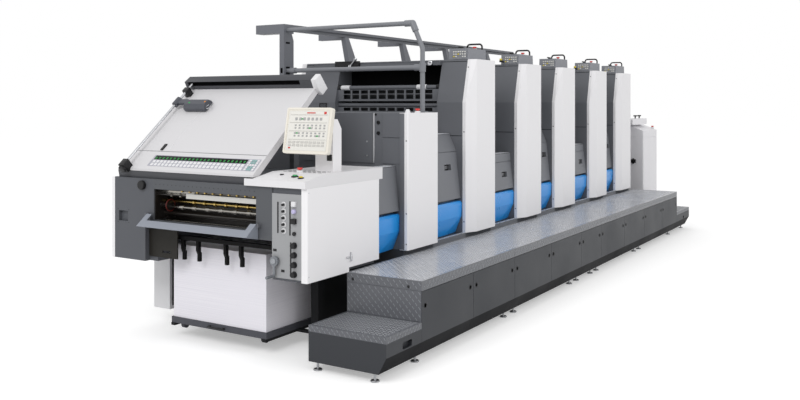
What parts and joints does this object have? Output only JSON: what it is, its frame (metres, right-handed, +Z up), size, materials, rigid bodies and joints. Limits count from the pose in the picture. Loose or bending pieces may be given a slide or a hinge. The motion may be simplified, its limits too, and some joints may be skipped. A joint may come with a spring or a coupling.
{
  "type": "sheet-fed offset printing press",
  "caption": "Sheet-fed offset press with tower printing units, a pile delivery with inspection desk, a feeder, and an operator's tread platform along its side.",
  "frame": {"origin": "centre of the machine's footprint, on the floor", "axes": "+X from the delivery to the feeder, +Y from the operator's platform to the drive side, +Z up"},
  "size_m": [7.328, 2.127, 2.095],
  "materials": {
    "cover_white": "satin paint",
    "body_grey": "satin paint",
    "cover_grey": "satin paint",
    "fender_blue": "gloss paint",
    "tread_plate": "raised tread, worn paint",
    "platform_grey": "satin paint",
    "panel_grey": "satin paint",
    "black_metal": "matt black paint",
    "bright_steel": "ground and plated",
    "cast_bed": "painted casting",
    "zinc_steel": "zinc plated",
    "black_plastic": "moulded, fine grain",
    "screen_beige": "moulded",
    "stop_red": "moulded, glossy",
    "base_white": "moulded",
    "paper_white": "cut paper edges",
    "board_grey": "satin paint"
  },
  "bodies": {
    "press": {"platform_deck": "tread_plate", "platform_doors": "platform_grey", "platform_ribs": "black_metal", "platform_rails": "black_metal", "platform_feet": "zinc_steel", "end_steps": "platform_grey", "step_treads": "tread_plate", "machine_base": "cast_bed", "unit_bodies": "body_grey", "unit_guards": "body_grey", "unit_rollers": "black_metal", "key_panels": "panel_grey", "stop_bases": "base_white", "stop_buttons": "stop_red", "lift_bracket": "black_metal", "tower_covers": "cover_white", "drive_covers": "cover_white", "unit_caps": "body_grey", "cap_bails": "black_plastic", "gap_covers": "cover_grey", "gap_treads": "tread_plate", "blue_fenders": "fender_blue", "coating_body": "body_grey", "coating_cover": "cover_white", "guard_arch": "cover_grey", "overhead_rail": "body_grey", "rail_braces": "body_grey", "drive_housing": "body_grey", "operator_housing": "body_grey", "delivery_front": "body_grey", "delivery_cover": "body_grey", "side_panel": "cover_white", "gripper_bars": "bright_steel", "delivery_shafts": "bright_steel", "chain_wheels": "cast_bed", "sheet_stops": "black_metal", "guide_posts": "black_metal", "drive_post": "panel_grey", "control_panel": "panel_grey", "panel_knobs": "black_plastic", "console_top": "cover_white", "console_post": "cover_white", "inspection_desk": "cover_white", "desk_supports": "black_metal", "desk_hood": "cover_grey", "guard_hinges": "body_grey", "feeder_posts": "panel_grey", "feeder_beams": "panel_grey", "feeder_board": "board_grey", "feeder_pile": "paper_white", "feeder_head": "panel_grey", "feed_board": "panel_grey"},
    "guard": {"moving_guard": "cover_grey"},
    "crank": {"crank": "zinc_steel"},
    "screen": {"monitor": "screen_beige"},
    "scanner_bridge": {"scanner_rail": "bright_steel"},
    "scanner": {"scanner_head": "black_plastic"},
    "pile": {"pile_board": "board_grey", "lifting_forks": "black_metal", "paper_pile": "paper_white"}
  },
  "joints": [
    {"name": "guard_swing", "type": "hinge", "parent": "press", "child": "guard", "pos_m": [-3.571, 0.23, 0.785], "axis": [0, 1, 0], "range_deg": [0, 70]},
    {"name": "crank_turn", "type": "hinge", "parent": "press", "child": "crank", "pos_m": [-3.561, -0.3455, 0.5942], "axis": [1, 0, 0], "continuous": true},
    {"name": "screen_tilt", "type": "hinge", "parent": "press", "child": "screen", "pos_m": [-3.298, -0.4575, 1.315], "axis": [0, 1, 0], "range_deg": [-10, 12]},
    {"name": "scanner_traverse", "type": "slide", "parent": "press", "child": "scanner_bridge", "axis": [0, -1, 0], "range_m": [0, 0.8]},
    {"name": "scanner_slide", "type": "slide", "parent": "scanner_bridge", "child": "scanner", "axis": [-0.7554, 0, -0.6553], "range_m": [0, 0.36]},
    {"name": "pile_lift", "type": "slide", "parent": "press", "child": "pile", "axis": [0, 0, 1], "range_m": [-0.05, 0]}
  ]
}
